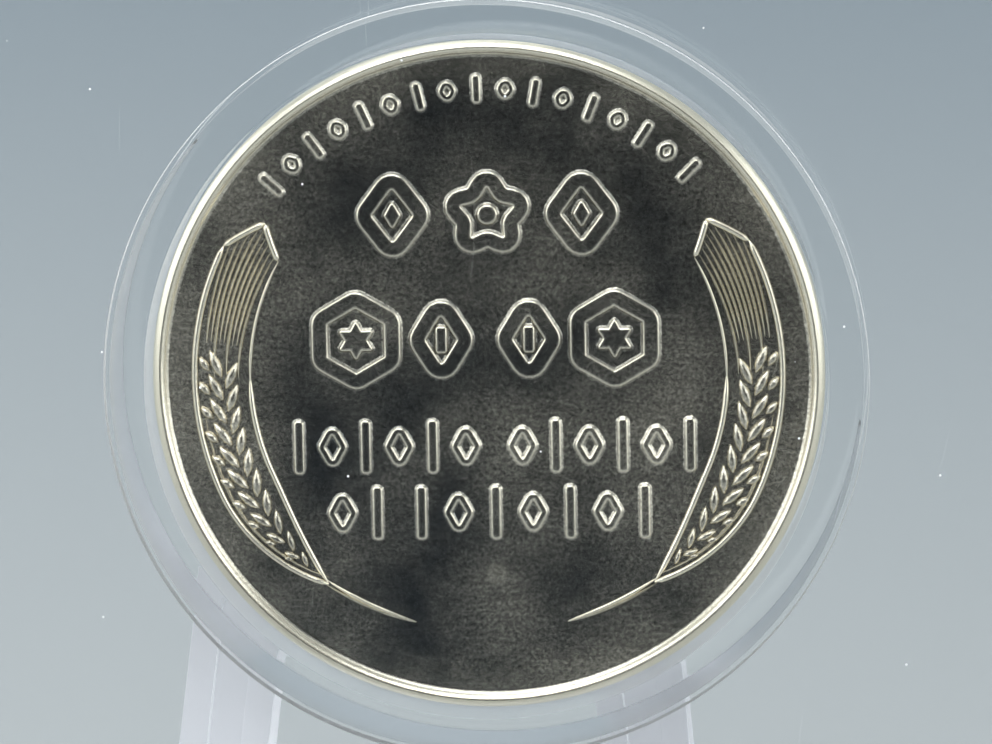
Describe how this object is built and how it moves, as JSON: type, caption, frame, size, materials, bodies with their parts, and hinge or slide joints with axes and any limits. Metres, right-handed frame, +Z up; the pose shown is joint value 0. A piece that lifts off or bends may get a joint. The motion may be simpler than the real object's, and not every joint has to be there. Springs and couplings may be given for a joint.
{
  "type": "coin capsule",
  "caption": "Square clear snap-together coin capsule holding a small steel coin in a clear ring, leaning on a moulded display stand with prongs.",
  "frame": {"origin": "under the middle of the whole object, on the surface that the stand's base plate rests on", "axes": "+Z up; the coin faces -Y and leans back by 15 degrees; +X to the right of a person facing the coin"},
  "size_m": [0.0508, 0.029, 0.0548],
  "materials": {
    "clear_shell": "clear polished polystyrene",
    "clear_ring": "clear soft plastic, slightly darker",
    "toned_steel": "dark toned zinc-plated steel with bright worn edges",
    "clear_stand": "clear moulded polystyrene with a faint lavender cast"
  },
  "bodies": {
    "stand": {"display_stand": "clear_stand"},
    "capsule": {"back_shell": "clear_shell"},
    "cover": {"front_cover": "clear_shell"},
    "ring": {"coin_ring": "clear_ring"},
    "coin": {"coin": "toned_steel"}
  },
  "joints": [
    {"name": "capsule_lift", "type": "slide", "parent": "stand", "child": "capsule", "axis": [0, 0.2588, 0.9659], "range_m": [0, 0.032]},
    {"name": "cover_off", "type": "slide", "parent": "capsule", "child": "cover", "axis": [0, -0.9659, 0.2588], "range_m": [0, 0.024]},
    {"name": "ring_out", "type": "slide", "parent": "capsule", "child": "ring", "axis": [0, -0.9659, 0.2588], "range_m": [0, 0.0072]},
    {"name": "coin_out", "type": "slide", "parent": "capsule", "child": "coin", "axis": [0, -0.9659, 0.2588], "range_m": [0, 0.0144]}
  ],
  "couplings": [
    {"joint": "ring_out", "follows": "cover_off", "ratio": 0.3},
    {"joint": "coin_out", "follows": "cover_off", "ratio": 0.6}
  ]
}
